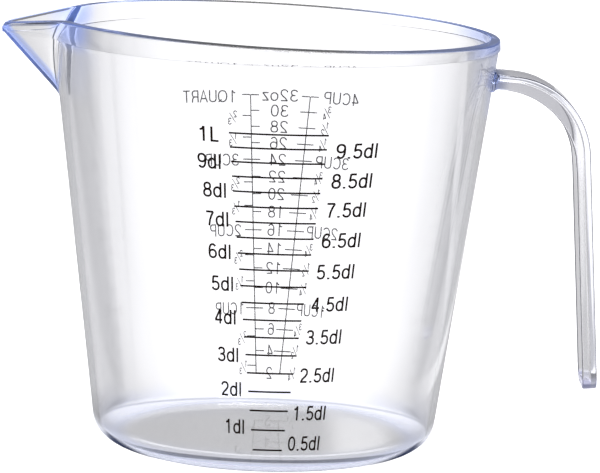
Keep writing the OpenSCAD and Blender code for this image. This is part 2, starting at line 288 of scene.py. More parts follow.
clearPlastic = makePlastic()
metricInk = makeInk("brownBlackInk", ink["metric"], ink["metricThin"])
imperialInk = makeInk("thinGreyInk", ink["imperial"], ink["imperialThin"])
print("materials made")


def softMax(a, b, soft):
    return (a + b + np.sqrt((a - b) ** 2 + soft * soft)) / 2


def softMin(a, b, soft):
    return -softMax(-a, -b, soft)


def veeR(turn, z, moveOut):
    # distance from the axis to a face of the V, at an angle from the spout's direction
    turn = np.minimum(turn, math.radians(spout["zone"]))
    rise = math.radians(spout["rise"])
    spread = math.tan(math.radians(spout["halfAngle"]))
    a = spread * (math.sin(rise) * spout["rootR"] + math.cos(rise) * (z - spout["rootH"]) + moveOut)
    b = spread * math.sin(rise) * np.cos(turn)
    soft = spout["keelSoft"]
    a = np.maximum(a, soft)
    under = 4 * (a * b) ** 2 - 4 * (np.sin(turn) ** 2 - b * b) * (soft ** 2 - a * a)
    return 2 * (a * a - soft ** 2) / (2 * a * b + np.sqrt(np.maximum(under, 0)))


def moved(distance):
    return distance / math.sin(math.radians(spout["halfAngle"]))


def wallR(turn, z):
    cone = cup["footR"] + cup["slope"] * z + cup["inkBed"]
    return softMax(cone, veeR(turn, z, 0), spout["creaseSoft"])


def frontR(turn):
    # distance to the plane of the spout's front, or far away beside it
    side, far = 1.2, 1000
    return np.where(turn < side, spout["reach"] / np.cos(np.minimum(turn, side)), far)


def bandR(turn, z):
    cone = cup["bandLowR"] - (z - cup["bandLowH"]) * math.tan(math.radians(cup["bandDraft"]))
    r = softMax(cone, veeR(turn, z, moved(spout["bandProud"])), spout["creaseSoft"])
    return softMin(r, frontR(turn), spout["noseSoft"])


def insideR(turn, z):
    upper = cup["innerTopR"] - (z - cup["bandLowH"]) * math.tan(math.radians(cup["innerDraft"]))
    cone = np.where(z > cup["bandLowH"], upper, cup["innerFootR"] + cup["innerSlope"] * z)
    return softMax(cone, veeR(turn, z, -moved(spout["wallT"])), spout["creaseSoft"])


def crossing(low, high, gap):
    # angle at which gap(angle) falls to nothing, or low where it is never above it
    first, last = low, np.full_like(low, high)
    for step in range(24):
        middle = (first + last) / 2
        above = gap(middle) > 0
        first, last = np.where(above, middle, first), np.where(above, last, middle)
    return first


columns = dict(
    keel=[0, 0.35, 0.65, 0.9], cheek=[0, 0.1, 0.22, 0.36, 0.5, 0.64, 0.76, 0.86, 0.93, 0.975],
    beside=[0, 0.018, 0.045, 0.085, 0.14, 0.21, 0.3, 0.4, 0.52, 0.64, 0.76, 0.88], zoneEnd=44, round=80,
    noseMost=8, noseLeast=1.3, noseSoft=0.3, cheekLeast=1.6, cheekSoft=0.6,
)


def columnTurns(z, inside):
    # angles from the spout's direction of one half's columns, with the spout's creases on them
    z = np.broadcast_to(np.asarray(z, float), (columnCount,))
    flat = np.zeros(columnCount)
    out = -moved(spout["wallT"]) if inside else np.where(z > cup["bandLowH"], moved(spout["bandProud"]), 0)
    cone = np.where(
        z > cup["bandLowH"],
        cup["innerTopR"] if inside else cup["bandLowR"],
        (cup["innerFootR"] + cup["innerSlope"] * z) if inside else (cup["footR"] + cup["slope"] * z),
    )
    angle = lambda name: math.radians(columns[name])
    third = angle("zoneEnd")
    crease = crossing(flat, third, lambda a: veeR(a, z, out) - cone)
    nose = crossing(flat, angle("noseMost"), lambda a: veeR(a, z, out) - spout["reach"] / np.cos(a))
    first = softMax(nose, angle("noseLeast"), angle("noseSoft"))
    second = softMax(crease, first + angle("cheekLeast"), angle("cheekSoft"))
    turns = np.empty(columnCount)
    starts = [0, first, second, third]
    ends = [first, second, third, math.pi]
    for place, (part, share) in enumerate(columnShares):
        low = starts[part] if np.isscalar(starts[part]) else starts[part][place]
        high = ends[part] if np.isscalar(ends[part]) else ends[part][place]
        turns[place] = low + (high - low) * share
    return turns


# each column's place: one of four parts between the angles above, and its share of that part
columnShares = [
    (part, share) for part, name in enumerate(("keel", "cheek", "beside")) for share in columns[name]]
columnShares += [(3, count / columns["round"]) for count in range(columns["round"] + 1)]
columnCount = len(columnShares)


def rimH(x):
    # height of the slanted rim, and of the falling top of the spout with its rounded corner
    rim = cup["rimMidH"] - cup["rimSlope"] * x
    pour = spout["pourStartH"] + (x + spout["pourStart"]) * math.tan(math.radians(spout["pourDrop"]))
    corner = spout["cornerR"]
    past = np.clip((-x - spout["reach"] + corner) / corner, 0, 1)
    low = softMin(rim, np.where(x < spout["pourX"], pour, rim + spout["pourRise"]), spout["noseSoft"])
    return low - corner * (1 - np.sqrt(1 - past ** 2)) * spout["cornerDrop"]


def topEdge():
    # heights at which the rim's plane or the thinnest lip ends each column, found from above
    z = np.full(columnCount, cup["aboveH"])
    ease = 0.8
    for step in range(40):
        turn = columnTurns(z, False)
        outer = bandR(turn, z)
        inner = insideR(turn, z)
        thin = np.maximum(0, spout["lipT"] + inner - outer)
        z = np.minimum(rimH(-outer * np.cos(turn)), z - ease * thin)
    return z


def cupRows():
    # (angles, radii, heights) of each row, from the underside's middle round to the floor's middle
    rows = []
    plain = columnTurns(0, False)
    spread = lambda value: np.broadcast_to(value, plain.shape)
    add = lambda turn, r, z: rows.append((turn, spread(r), spread(z)))
    heights = lambda spans: [z for span in spans for z in np.linspace(*span)]
    for r in cup["discR"]:
        add(plain, r, 0)
    lean = math.atan(cup["slope"])
    for a in np.linspace(-math.pi / 2, -lean, cup["heelRows"]):
        add(plain, cup["heelC"] + cup["heelR"] * math.cos(a), cup["heelR"] * (1 + math.sin(a)))
    for z in [*heights(cup["wallRows"]), cup["wallEndH"], cup["bandLowH"]]:
        turn = columnTurns(z, False)
        r = wallR(turn, z)
        add(turn, softMin(r, frontR(turn), spout["noseSoft"]), z)
    top = topEdge()
    edge = cup["edgeR"]
    low = cup["bandLowH"]
    for share in cup["bandShares"]:
        z = low + (top - edge - low) * share + (cup["sliver"] if share == 0 else 0)
        turn = columnTurns(z, False)
        add(turn, bandR(turn, z), z)
    z = top - edge
    turn = columnTurns(z, False)
    outer = bandR(turn, z)
    for a in np.radians(cup["roundTurns"]):
        add(turn, outer - edge * (1 - math.cos(a)), z + edge * math.sin(a))
    drop = rimH(-outer * np.cos(turn)) - top
    innerZ = top.copy()
    for step in range(20):
        innerTurn = columnTurns(innerZ, True)
        inner = insideR(innerTurn, innerZ)
        innerZ = rimH(-inner * np.cos(innerTurn)) - drop
    plane = cup["rimMidH"] + cup["rimSlope"] * inner * np.cos(innerTurn)
    innerZ = innerZ + np.clip(cup["topH"] - plane, 0, cup["crest"])
    edge = cup["innerEdgeR"]
    z = innerZ - edge
    innerTurn = columnTurns(z, True)
    inner = np.minimum(insideR(innerTurn, z), outer - cup["edgeR"] - cup["edgeFlat"] - edge)
    for a in np.radians(cup["roundTurns"][::-1]):
        add(innerTurn, inner + edge * (1 - math.cos(a)), z + edge * math.sin(a))
    low = cup["insideRows"][0][0]
    for share in cup["mouthShares"]:
        h = z + (low - z) * share
        turn = columnTurns(h, True)
        r = insideR(turn, h)
        add(turn, np.minimum(r, bandR(turn, h) - cup["lipLeast"]) if share < cup["lipShare"] else r, h)
    for h in heights(cup["insideRows"]):
        turn = columnTurns(h, True)
        add(turn, insideR(turn, h), h)
    plain = columnTurns(0, True)
    heel = cup["innerHeelR"]
    for a in np.linspace(-math.atan(cup["innerSlope"]), -math.pi / 2, cup["innerHeelRows"]):
        add(plain, cup["innerC"] + heel * math.cos(a), cup["innerHeelH"] + heel * math.sin(a))
    for r in cup["discR"][::-1]:
        add(plain, r, cup["floorT"])
    return rows


def cupMesh():
    rows = cupRows()
    ring = 2 * (columnCount - 1)
    points, faces = [], []
    for turn, r, z in rows:
        near = np.stack([-r * np.cos(turn), -r * np.sin(turn), z], 1)
        far = near[-2:0:-1] * [1, -1, 1]
        points.append(np.concatenate([near, far]))
    points = np.concatenate(points)
    count = len(rows)
    for i in range(count - 1):
        for j in range(ring):
            k = (j + 1) % ring
            faces.append((i * ring + j, i * ring + k, (i + 1) * ring + k, (i + 1) * ring + j))
    under, over = len(points), len(points) + 1
    points = np.concatenate([points, [[0, 0, 0], [0, 0, cup["floorT"]]]])
    for j in range(ring):
        k = (j + 1) % ring
        faces.append((under, k, j))
        faces.append((over, (count - 1) * ring + j, (count - 1) * ring + k))
    return meshFrom("cup", points, faces)


def meshFrom(name, points, faces):
    mesh = bpy.data.meshes.new(name)
    mesh.from_pydata([tuple(p) for p in points], [], faces)
    mesh.validate()
    return mesh


handle = dict(
    topR=66.13, topH=115.1, droop=4, bendR=25, lean=4.3,
    ribBendR=24.6,                                  # the ribs are deepest in the bend
    endX=101.1, endZ=19.2, halfW=9, depth=4.4, web=1.65, endWall=3.3, endStep=0.06, endGap=0.03,
    ribTipW=2.1, ribRootW=2.35, startX=64.35, rootR=1.1, rootGrow=0.8,
    cornerR=0.7, tipR=0.6, channelR=0.7, endR=1.0, endCornerR=6, roundShare=0.45, slack=0.01,
    # stations of the mesh, along the arm, round the bend and from it to the open end
    rootSteps=(-0.2, 0.1, 0.4, 0.8, 1.3, 1.9, 2.7, 3.6), bendGap=0.4, bendSteps=40,
    gripEnd=6, gripSteps=14, wallSteps=(0.45, 0.2),
    endSteps=(2.8, 2.4, 2, 1.6, 1.25, 0.95, 0.7, 0.5, 0.33, 0.2, 0.1, 0.03, 0),
    backY=(0, 2.8, 5.6), channelY=(5, 2.5, 0),              # points across the back and the channel
)


def bendCentre(inset):
    # the point that lies this far inside both the arm's and the grip's outside lines
    h = handle
    droop, lean = math.radians(h["droop"]), math.radians(h["lean"])
    arm, grip = (math.cos(droop), -math.sin(droop)), (-math.sin(lean), math.cos(lean))
    fromArm = (h["topR"] - inset * math.sin(droop), h["topH"] - inset * math.cos(droop))
    toGrip = (
        h["endX"] - inset * math.cos(lean) - fromArm[0], h["endZ"] - inset * math.sin(lean) - fromArm[1])
    along = (toGrip[0] * grip[1] - toGrip[1] * grip[0]) / (arm[0] * grip[1] - arm[1] * grip[0])
    return Vector((fromArm[0] + arm[0] * along, 0, fromArm[1] + arm[1] * along))


def ribDepth(place, down):
    # depth from the outside to the ribs' free edge
    h = handle
    centre = bendCentre(h["depth"] + h["ribBendR"])
    back = place - centre
    far = back.dot(down)
    deep = -far - math.sqrt(max(0, far * far - back.dot(back) + h["ribBendR"] ** 2))
    hit = place + down * deep - centre
    turn = math.degrees(math.atan2(hit.z, hit.x))
    return deep if h["lean"] < turn < 90 - h["droop"] else h["depth"]


def handleStations():
    # place, direction down into the handle, and distance left to the open end
    h = handle
    droop, lean = math.radians(h["droop"]), math.radians(h["lean"])
    arm = Vector((math.cos(droop), 0, -math.sin(droop)))
    start = Vector((h["topR"], 0, h["topH"]))
    centre = bendCentre(h["bendR"])
    down = Vector((-math.sin(droop), 0, -math.cos(droop)))
    bendStart = centre - down * h["bendR"]
    places = []
    back = (h["topR"] - h["startX"]) / math.cos(droop)
    reach = (bendStart - start).dot(arm)
    for s in (-back, -back / 2, *h["rootSteps"]):
        if s < reach - h["bendGap"]:
            places.append((start + arm * s, down.copy()))
    for a in np.linspace(math.pi / 2 - droop, lean, h["bendSteps"]):
        out = Vector((math.cos(a), 0, math.sin(a)))
        places.append((centre + out * h["bendR"], -out))
    end = Vector((h["endX"], 0, h["endZ"]))
    gripDown = Vector((-math.cos(lean), 0, -math.sin(lean)))
    bendEnd = places[-1][0]
    length = (end - bendEnd).length
    wall = h["endWall"]
    rests = [*np.linspace(length, h["gripEnd"], h["gripSteps"])[1:]]
    rests += [wall + step for step in (*h["wallSteps"], h["endStep"], 0)]
    for rest in (*rests, *h["endSteps"]):
        places.append((end + (bendEnd - end).normalized() * rest, gripDown.copy()))
    return [(p, d, (end - p).length) for p, d in places]


def arcPoints(cy, cd, r, fromAngle, toAngle, steps=4):
    return [
        (cy + r * math.cos(a), cd + r * math.sin(a))
        for a in np.radians(np.linspace(fromAngle, toAngle, steps + 1))
    ]


def handleSection(channel, d):
    # half of the U, from the middle of the outside round to the middle of the channel's floor
    h = handle
    w = h["halfW"]
    ribTip, ribRoot = w - h["ribTipW"], w - h["ribRootW"]
    room = d - channel
    tip = min(h["tipR"], room * h["roundShare"])
    inner = min(h["channelR"], room * h["roundShare"])
    points = [(y, 0) for y in h["backY"]]
    points += arcPoints(w - h["cornerR"], h["cornerR"], h["cornerR"], -90, 0)
    points += [(w, d * 0.5)]
    points += arcPoints(w - h["tipR"], d - h["tipR"], h["tipR"], 0, 90)
    points += arcPoints(ribTip + tip, d - tip, tip, 90, 180)
    points += arcPoints(ribRoot - inner, channel + inner, inner, 0, -90)
    points += [(y, channel) for y in h["channelY"]]
    return points


def handleMesh():
    h = handle
    points, faces = [], []
    stations = handleStations()
    for place, down, rest in stations:
        fill = min(1, max(0, (h["endWall"] + h["endStep"] - rest) / h["endStep"]))
        depth = ribDepth(place, down)
        half = handleSection(h["web"] + (depth - h["endGap"] - h["web"]) * fill, depth)
        rounded = lambda r: r * (1 - math.sqrt(1 - max(0, min(1, 1 - rest / r)) ** 2))
        shrink, narrow = rounded(h["endR"]), rounded(h["endCornerR"])
        wallGap = max(0, place.x - h["topR"])
        close = max(0, 1 - wallGap / h["rootR"])
        grow = h["rootR"] * (1 - math.sqrt(1 - close * close)) * h["rootGrow"]
        wide = (h["halfW"] - narrow + grow) / h["halfW"]
        loop = half + [(-y, d) for y, d in reversed(half[1:-1])]
        channelW = h["halfW"] - h["ribTipW"] + h["slack"]
        channelD = depth - h["tipR"] - h["slack"]
        for y, d in loop:
            deep = shrink - grow + d * (depth - 2 * shrink + 2 * grow) / depth
            if grow and h["web"] <= d < channelD and abs(y) < channelW:
                deep = d + grow
            p = place + down * deep
            points.append((p.x, y * wide, p.z))
    ring = len(loop)
    for i in range(len(stations) - 1):
        for j in range(ring):
            k = (j + 1) % ring
            faces.append((i * ring + j, (i + 1) * ring + j, (i + 1) * ring + k, i * ring + k))
    faces.append(tuple(range(ring)))
    faces.append(tuple(reversed(range((len(stations) - 1) * ring, len(stations) * ring))))
    return meshFrom("handle", points, faces)


def objectFrom(name, mesh, material):
    piece = bpy.data.objects.new(name, mesh)
    bpy.context.scene.collection.objects.link(piece)
    mesh.materials.clear()
    mesh.materials.append(material)
    return piece


def pointOutwards(mesh):
    shape = bmesh.new()
    shape.from_mesh(mesh)
    bmesh.ops.recalc_face_normals(shape, faces=shape.faces)
    shape.to_mesh(mesh)
    shape.free()


def dropSlivers(mesh):
    shape = bmesh.new()
    shape.from_mesh(mesh)
    bmesh.ops.triangulate(shape, faces=[face for face in shape.faces if len(face.verts) > 4])
    bmesh.ops.remove_doubles(shape, verts=shape.verts, dist=cup["sliver"])
    bmesh.ops.dissolve_degenerate(shape, edges=shape.edges, dist=cup["sliver"])
    shape.to_mesh(mesh)
    shape.free()


def makeMoulding():
    body = objectFrom("clearMoulding", cupMesh(), clearPlastic)
    grip = objectFrom("handleForm", handleMesh(), clearPlastic)
    pointOutwards(body.data)
    pointOutwards(grip.data)
    join = body.modifiers.new("joinHandle", "BOOLEAN")
    join.operation = "UNION"
    join.solver = "EXACT"
    join.object = grip
    bpy.context.view_layer.update()
    joined = bpy.data.meshes.new_from_object(body.evaluated_get(bpy.context.evaluated_depsgraph_get()))
    dropSlivers(joined)
    body.modifiers.clear()
    body.data = joined
    bpy.data.objects.remove(grip)
    joined.transform(Matrix.Scale(mm, 4))
    joined.shade_smooth()
    joined.set_sharp_from_angle(angle=math.radians(cup["sharpTurn"]))
    joined.materials.clear()
    joined.materials.append(clearPlastic)
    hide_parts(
        "floor_disc", "heel_ring", "side_wall", "rim_band", "spout_keel", "spout_near_cheek",
        "spout_far_cheek", "spout_nose", "spout_near_lip", "spout_far_lip", "handle_web", "handle_near_rib",
        "handle_far_rib", "handle_end_wall",
    )
    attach(body, "root")
    return body


moulding = makeMoulding()
print("moulding made:", len(moulding.data.vertices), "points")


for name in ("decilitre_lines", "half_decilitre_lines"):
    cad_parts[name].data.materials.clear()
    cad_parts[name].data.materials.append(metricInk)
for name in ("quart_rule", "cup_rule", "ounce_ticks", "quarter_cup_ticks", "third_cup_ticks"):
    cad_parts[name].data.materials.clear()
    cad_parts[name].data.materials.append(imperialInk)

scale = dict(
    litreH=102.5, zeroH=1.8706, ounceShare=0.0295735, proud=0.1, sunk=0.01,
    fanLow=0.7, fanTopH=98,                         # the print narrows towards the foot
    dotGrow=1.25, mitreLeast=0.5, bowTurn=15, bowSteps=6, slashSteps=4,
)
metric = dict(
    turn=1.35, height=4.35, wholeWidth=0.99, halfWidth=1.08, weight=0.135,
    lineHalfLow=3.4, lineHalfHigh=14.3, wholeGap=2.1, wholeGapTop=3.0, halfGap=1.6, halfGapTop=2.8,
    litreWider=1.12, litreLift=-0.7, lowWider=0.1,
    wholeLifts=(0.77, 0.45, -0.3, 0.45, 0.3, 0.15, 0.45, 0, -0.3),      # the print isn't quite even
    halfLifts=(2.1, -0.65, -0.5, 0.25, -0.2, -0.35, -0.5, -0.6, -0.8, -0.5),
)
imperial = dict(
    height=3.9, width=1.16, wordWidth=1.1, weight=0.1,
    partHeight=2.15, partWidth=0.9, partWeight=0.145, partShift=(0.85, 1.15),    # figures of a fraction
    slashHalf=(1.05, 1.55), slashHalfW=0.14,                # and the stroke between them
    quartLowX=2.85, quartHighX=7.7, cupLowX=4.95, cupHighX=12, lowH=9.29, highH=98.07,
    # distances from the print's middle line or from a rule, at the foot and added up to the top
    ounceX=(-1.35, -0.75), cupWordX=(2.7, 2.0), cupPartX=(3.8, 2.7), thirdWordX=(3.4, 1.1),
    thirdPartX=(3.8, 2.5), quartX=5.0, ounceLift=0.1, quartLift=-0.6, wordLift=-0.2, thirdLift=-0.7,
)


def fillH(share):
    inner = lambda h: (cup["innerFootR"] + cup["innerSlope"] * h) ** 3
    cubes = inner(scale["zeroH"]) + share * (inner(scale["litreH"]) - inner(scale["zeroH"]))
    return (cubes ** (1 / 3) - cup["innerFootR"]) / cup["innerSlope"]


def fan(h):
    return scale["fanLow"] + (1 - scale["fanLow"]) * h / scale["fanTopH"]


def bow(x, y, wide, tall, start, end, square=2.25):
    # points along a slightly squared oval, between two angles
    steps = max(scale["bowSteps"], int(abs(end - start) / scale["bowTurn"]))
    points = []
    for a in np.radians(np.linspace(start, end, steps + 1)):
        across, up = [math.copysign(abs(part) ** (2 / square), part) for part in (math.cos(a), math.sin(a))]
        points.append((x + wide * across, y + tall * up))
    return points


def oval(x, y, wide, tall):
    return ["closed"] + bow(x, y, wide, tall, 0, 360)[:-1]


def halfTurn(strokes, x, y):
    return [[q if q == "closed" else (2 * x - q[0], 2 * y - q[1]) for q in stroke] for stroke in strokes]


# centre lines of plain upright figures one unit tall: (width, strokes)
six = [oval(0.31, 0.31, 0.24, 0.255), bow(0.31, 0.5, 0.245, 0.445, 42, 180) + [(0.067, 0.33)]]
bowl = [(0.1, 0.945), (0.34, 0.945)] + bow(0.36, 0.7, 0.2, 0.245, 90, -90) + [(0.1, 0.455)]
figures = {
    "0": (0.72, [oval(0.31, 0.5, 0.245, 0.445)]),
    "1": (0.72, [[(0.34, 0), (0.34, 1)], [(0.1, 0.775), (0.21, 0.795), (0.29, 0.86), (0.34, 0.99)]]),
    "2": (0.72, [
        bow(0.31, 0.7, 0.235, 0.245, 172, -30) + [(0.4, 0.42), (0.2, 0.24), (0.1, 0.06)],
        [(0.045, 0.055), (0.56, 0.055)]]),
    "3": (0.72, [
        bow(0.3, 0.73, 0.215, 0.215, 165, -82) + [(0.2, 0.515)], bow(0.3, 0.285, 0.245, 0.23, 82, -168)]),
    "4": (0.72, [[(0.43, 0), (0.43, 0.99)], [(0.42, 0.96), (0.07, 0.28)], [(0.03, 0.26), (0.58, 0.26)]]),
    "5": (0.72, [
        [(0.53, 0.945), (0.14, 0.945)], [(0.155, 0.97), (0.1, 0.47)],
        bow(0.3, 0.32, 0.245, 0.265, 145, -160)]),
    "6": (0.72, six),
    "7": (0.72, [[(0.04, 0.945), (0.56, 0.945)], [(0.545, 0.94), (0.41, 0.68), (0.3, 0.38), (0.245, 0)]]),
    "8": (0.72, [oval(0.31, 0.735, 0.205, 0.21), oval(0.31, 0.285, 0.245, 0.23)]),
    "9": (0.72, halfTurn(six, 0.31, 0.5)),
    ".": (0.38, [[(0.14, 0), (0.14, 0.12)]]),
    "d": (0.7, [oval(0.295, 0.365, 0.235, 0.31), [(0.52, 0), (0.52, 1)]]),
    "l": (0.3, [[(0.13, 0), (0.13, 1)]]),
    "L": (0.62, [[(0.1, 0), (0.1, 1)], [(0.05, 0.055), (0.52, 0.055)]]),
    "C": (0.76, [bow(0.36, 0.5, 0.3, 0.445, 38, 322)]),
    "U": (0.76, [[(0.09, 1)] + bow(0.345, 0.31, 0.255, 0.255, 180, 360) + [(0.6, 1)]]),
    "P": (0.68, [[(0.1, 0), (0.1, 1)], bowl]),
    "Q": (0.82, [oval(0.385, 0.5, 0.325, 0.445), [(0.46, 0.24), (0.71, 0.02)]]),
    "A": (0.7, [[(0.04, 0), (0.33, 0.99), (0.62, 0)], [(0.14, 0.31), (0.52, 0.31)]]),
    "R": (0.74, [[(0.1, 0), (0.1, 1)], bowl, [(0.36, 0.455), (0.5, 0.4), (0.54, 0.28), (0.58, 0)]]),
    "T": (0.64, [[(0.02, 0.945), (0.6, 0.945)], [(0.31, 0), (0.31, 0.945)]]),
    "o": (0.68, [oval(0.31, 0.365, 0.245, 0.31)]),
    "z": (0.56, [
        [(0.05, 0.67), (0.49, 0.67)], [(0.465, 0.65), (0.08, 0.08)], [(0.04, 0.055), (0.51, 0.055)]]),
}


def ribbon(stroke, half):
    # left and right edge of a stroke
    closed = stroke[0] == "closed"
    line = np.array(stroke[1:] if closed else stroke, float)
    step = np.roll(line, -1, 0) - line if closed else np.diff(line, axis=0)
    step /= np.linalg.norm(step, axis=1)[:, None]
    before = np.roll(step, 1, 0) if closed else np.vstack([step[:1], step])
    after = step if closed else np.vstack([step, step[-1:]])
    along = before + after
    along /= np.linalg.norm(along, axis=1)[:, None]
    stretch = 1 / np.maximum(scale["mitreLeast"], (along * after).sum(1))
    side = np.stack([-along[:, 1], along[:, 0]], 1) * (half * stretch)[:, None]
    return line + side, line - side, closed


def textShape(body, weight):
    # solid strokes of a text one unit tall, from its left edge and baseline; 0 is at the wall, 1 outside
    points, faces, x = [], [], 0
    for letter in body:
        width, strokes = figures[letter]
        for stroke in strokes:
            left, right, closed = ribbon(stroke, weight * (scale["dotGrow"] if letter == "." else 1) / 2)
            start, count = len(points), len(left)
            for pair in zip(left, right):
                points += [(x + edge[0], edge[1], level) for level in (0, 1) for edge in pair]
            for i in range(count if closed else count - 1):
                j = start + 4 * i
                k = start + 4 * ((i + 1) % count)
                faces += [(j + 2, j + 3, k + 3, k + 2), (j, k, k + 1, j + 1)]
                faces += [(j, j + 2, k + 2, k), (j + 1, k + 1, k + 3, j + 3)]
            if not closed:
                end = start + 4 * (count - 1)
                faces += [(start, start + 1, start + 3, start + 2), (end, end + 2, end + 3, end + 1)]
        x += width
    points = np.array(points)
    points[:, 0] -= points[:, 0].min()
    return points, faces


class Print:
    # gathers the texts of one scale and wraps them on the wall
    def __init__(self, name, side, turn, details):
        self.name, self.side, self.turn, self.details = name, side, math.radians(turn), details
        self.points, self.faces = [], []

    def wrap(self, flat):
        # puts (arc, height, 0 or 1) on the wall, inside or outside the ink
        r = cup["footR"] + cup["slope"] * flat[:, 1]
        angle = flat[:, 0] * fan(flat[:, 1]) / r + self.turn
        r = r + np.where(flat[:, 2] > 0, scale["proud"], scale["sunk"])
        start = sum(len(p) for p in self.points)
        self.points.append(np.stack([
            self.side * r * np.sin(angle), -self.side * r * np.cos(angle), flat[:, 1]], 1))
        return start

    def add(self, body, h, height, anchor, align, width, weight="weight"):
        # anchor is the arc from the print's middle line at height h, in the reading direction
        points, faces = textShape(body, self.details[weight])
        flat = points * [height * width, height, 1]
        wide = flat[:, 0].max()
        flat[:, 0] += anchor / fan(h) - wide * {"left": 0, "middle": 0.5, "right": 1}[align]
        flat[:, 1] += h - height / 2
        start = self.wrap(flat)
        self.faces += [tuple(i + start for i in face) for face in faces]

    def fraction(self, top, low, h, anchor):
        m = self.details
        aside, up = m["partShift"]
        for body, way in ((top, 1), (low, -1)):
            place = (h + way * up, m["partHeight"], anchor - way * aside)
            self.add(body, *place, "middle", m["partWidth"], "partWeight")
        # the slanted stroke between them
        slope, half = m["slashHalf"]
        sides = (-m["slashHalfW"], m["slashHalfW"])
        steps = scale["slashSteps"]
        flat = [
            (anchor / fan(h) + slope * t + side, h + half * t, level)
            for t in np.linspace(-1, 1, steps + 1) for side in sides for level in (0, 1)]
        start = self.wrap(np.array(flat))
        for i in range(steps):
            a = start + 4 * i
            for q in ((0, 4, 5, 1), (1, 5, 7, 3), (3, 7, 6, 2), (2, 6, 4, 0)):
                self.faces.append(tuple(a + k for k in q))
        last = start + 4 * steps
        self.faces += [(start, start + 1, start + 3, start + 2), (last, last + 2, last + 3, last + 1)]

    def finish(self, material):
        mesh = meshFrom(self.name, np.concatenate(self.points) * mm, self.faces)
        piece = objectFrom(self.name, mesh, material)
        pointOutwards(mesh)
        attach(piece, "root")
        return piece


def makeMetricNumerals():
    m = metric
    sheet = Print("metricNumerals", 1, m["turn"], m)
    for number in range(1, 21):
        h = fillH(number / 20)
        half = m["lineHalfLow"] + (m["lineHalfHigh"] - m["lineHalfLow"]) * h / scale["litreH"]
        if number == 20:
            width = m["wholeWidth"] * m["litreWider"]
            sheet.add("1L", h + m["litreLift"], m["height"], -half - m["wholeGapTop"], "right", width)
        elif number % 2 == 0:
            gap = m["wholeGapTop"] if number == 18 else m["wholeGap"]
            width = m["wholeWidth"] * (1 + m["lowWider"] * (1 - h / scale["fanTopH"]))
            lift = m["wholeLifts"][number // 2 - 1]
            sheet.add(f"{number // 2}dl", h + lift, m["height"], -half - gap, "right", width)
        else:
            gap = m["halfGap"] + (m["halfGapTop"] - m["halfGap"]) * h / scale["fanTopH"]
            lift = m["halfLifts"][number // 2]
            sheet.add(f"{number // 2}.5dl", h + lift, m["height"], half + gap, "left", m["halfWidth"])
    return sheet.finish(metricInk)


def makeImperialNumerals():
    m = imperial
    sheet = Print("imperialNumerals", -1, 0, m)
    along = lambda low, high, h: low + (high - low) * (h - m["lowH"]) / (m["highH"] - m["lowH"])
    ounceH = lambda ounces: fillH(ounces * scale["ounceShare"])
    beside = lambda name, h: m[name][0] + m[name][1] * h / scale["fanTopH"]
    # arcs grow in the reading direction here, so the cup column is at negative arcs
    for ounces in range(2, 33, 2):
        h = ounceH(ounces)
        body = "32oz" if ounces == 32 else str(ounces)
        sheet.add(body, h + m["ounceLift"], m["height"], beside("ounceX", h), "middle", m["width"])
        edge = -along(m["cupLowX"], m["cupHighX"], h)
        if ounces % 8 == 0:
            place = edge - beside("cupWordX", h)
            sheet.add(f"{ounces // 8}CUP", h, m["height"], place, "right", m["wordWidth"])
        else:
            top, low = {2: ("1", "4"), 4: ("1", "2"), 6: ("3", "4")}[ounces % 8]
            sheet.fraction(top, low, h + m["ounceLift"], edge - beside("cupPartX", h))
    for third in range(1, 13):
        h = ounceH(third * 8 / 3)
        edge = along(m["quartLowX"], m["quartHighX"], h)
        if third == 12:
            sheet.add("1QUART", h + m["quartLift"], m["height"], edge + m["quartX"], "left", m["wordWidth"])
        elif third % 3 == 0:
            place = edge + beside("thirdWordX", h)
            sheet.add(f"{third // 3}CUP", h + m["wordLift"], m["height"], place, "left", m["wordWidth"])
        else:
            sheet.fraction(str(third % 3), "3", h + m["thirdLift"], edge + beside("thirdPartX", h))
    return sheet.finish(imperialInk)


metricNumerals = makeMetricNumerals()
imperialNumerals = makeImperialNumerals()
print("numerals made:", len(metricNumerals.data.vertices), len(imperialNumerals.data.vertices), "points")


studio = dict(
    floorR=3.2, floorSides=96, floorDrop=0.0001, floorPatch=0.016667, floorRoughness=0.7,
    floorColour=(0.78, 0.78, 0.785), floorPale=(0.8, 0.8, 0.805), tableWhite=1.1,
    # painted glow on the strip of table seen through the jug: half its width at the jug and its growth
    # behind it, its middle
    seenHalfW=0.0515, seenSpread=0.187, seenX=0.001, seenTurn=0.012,
    stripGlow=((0.45, 0.8), (0.62, 0.58), (0.76, 0.38), (0.87, 0.05), (3.5, 0.05), (5, 0.3)),    # across it
    gripSpread=0.1, gripX=(0.088, 0.092, 0.106, 0.112), gripGlow=0.4,    # painted glow of what shows through the handle
    # painted shade on the table in front of the jug
    frontGlow=0.0, frontY=(-0.02, 0.04),
    # painted shadow in the oval of table seen through the jug's floor, and painted rings of light and shade
    # round it
    floorHalf=(0.0417, 0.032), floorY=0.004, floorEdge=(0.92, 1.03),
    underShadowGlow=0.5, brightX=(0.016, 0.026, 0.034, 0.044), brightGlow=1.0,
    heelGlow=0.5, heelBack=0.88, heelY=(-0.005, 0.02), heelR=(0.056, 0.066),
    # a painted highlight ring in front and a painted shade ring behind
    shineOval=(1.0, 1.03, 1.08, 1.11), shineGlow=1.1, backOval=(1.4, 1.45, 1.5, 1.55), backGlow=0.45,
    # painted contact shadow just outside the heel, in glow and in colour
    contactShadowOval=(1.23, 1.27, 1.36, 1.41), footY=(-0.004, -0.018), contactShadowColour=(0.03, 0.03, 0.04),
    roomLow=(0.27, 0.27, 0.285), roomHigh=(0.52, 0.52, 0.54), roomRise=(0.05, 0.6),
    softboxPower=6, softboxSize=0.5, softboxPlace=(0.15, 0.25, 1.5), softboxAim=(0, 0, 0.05),
)


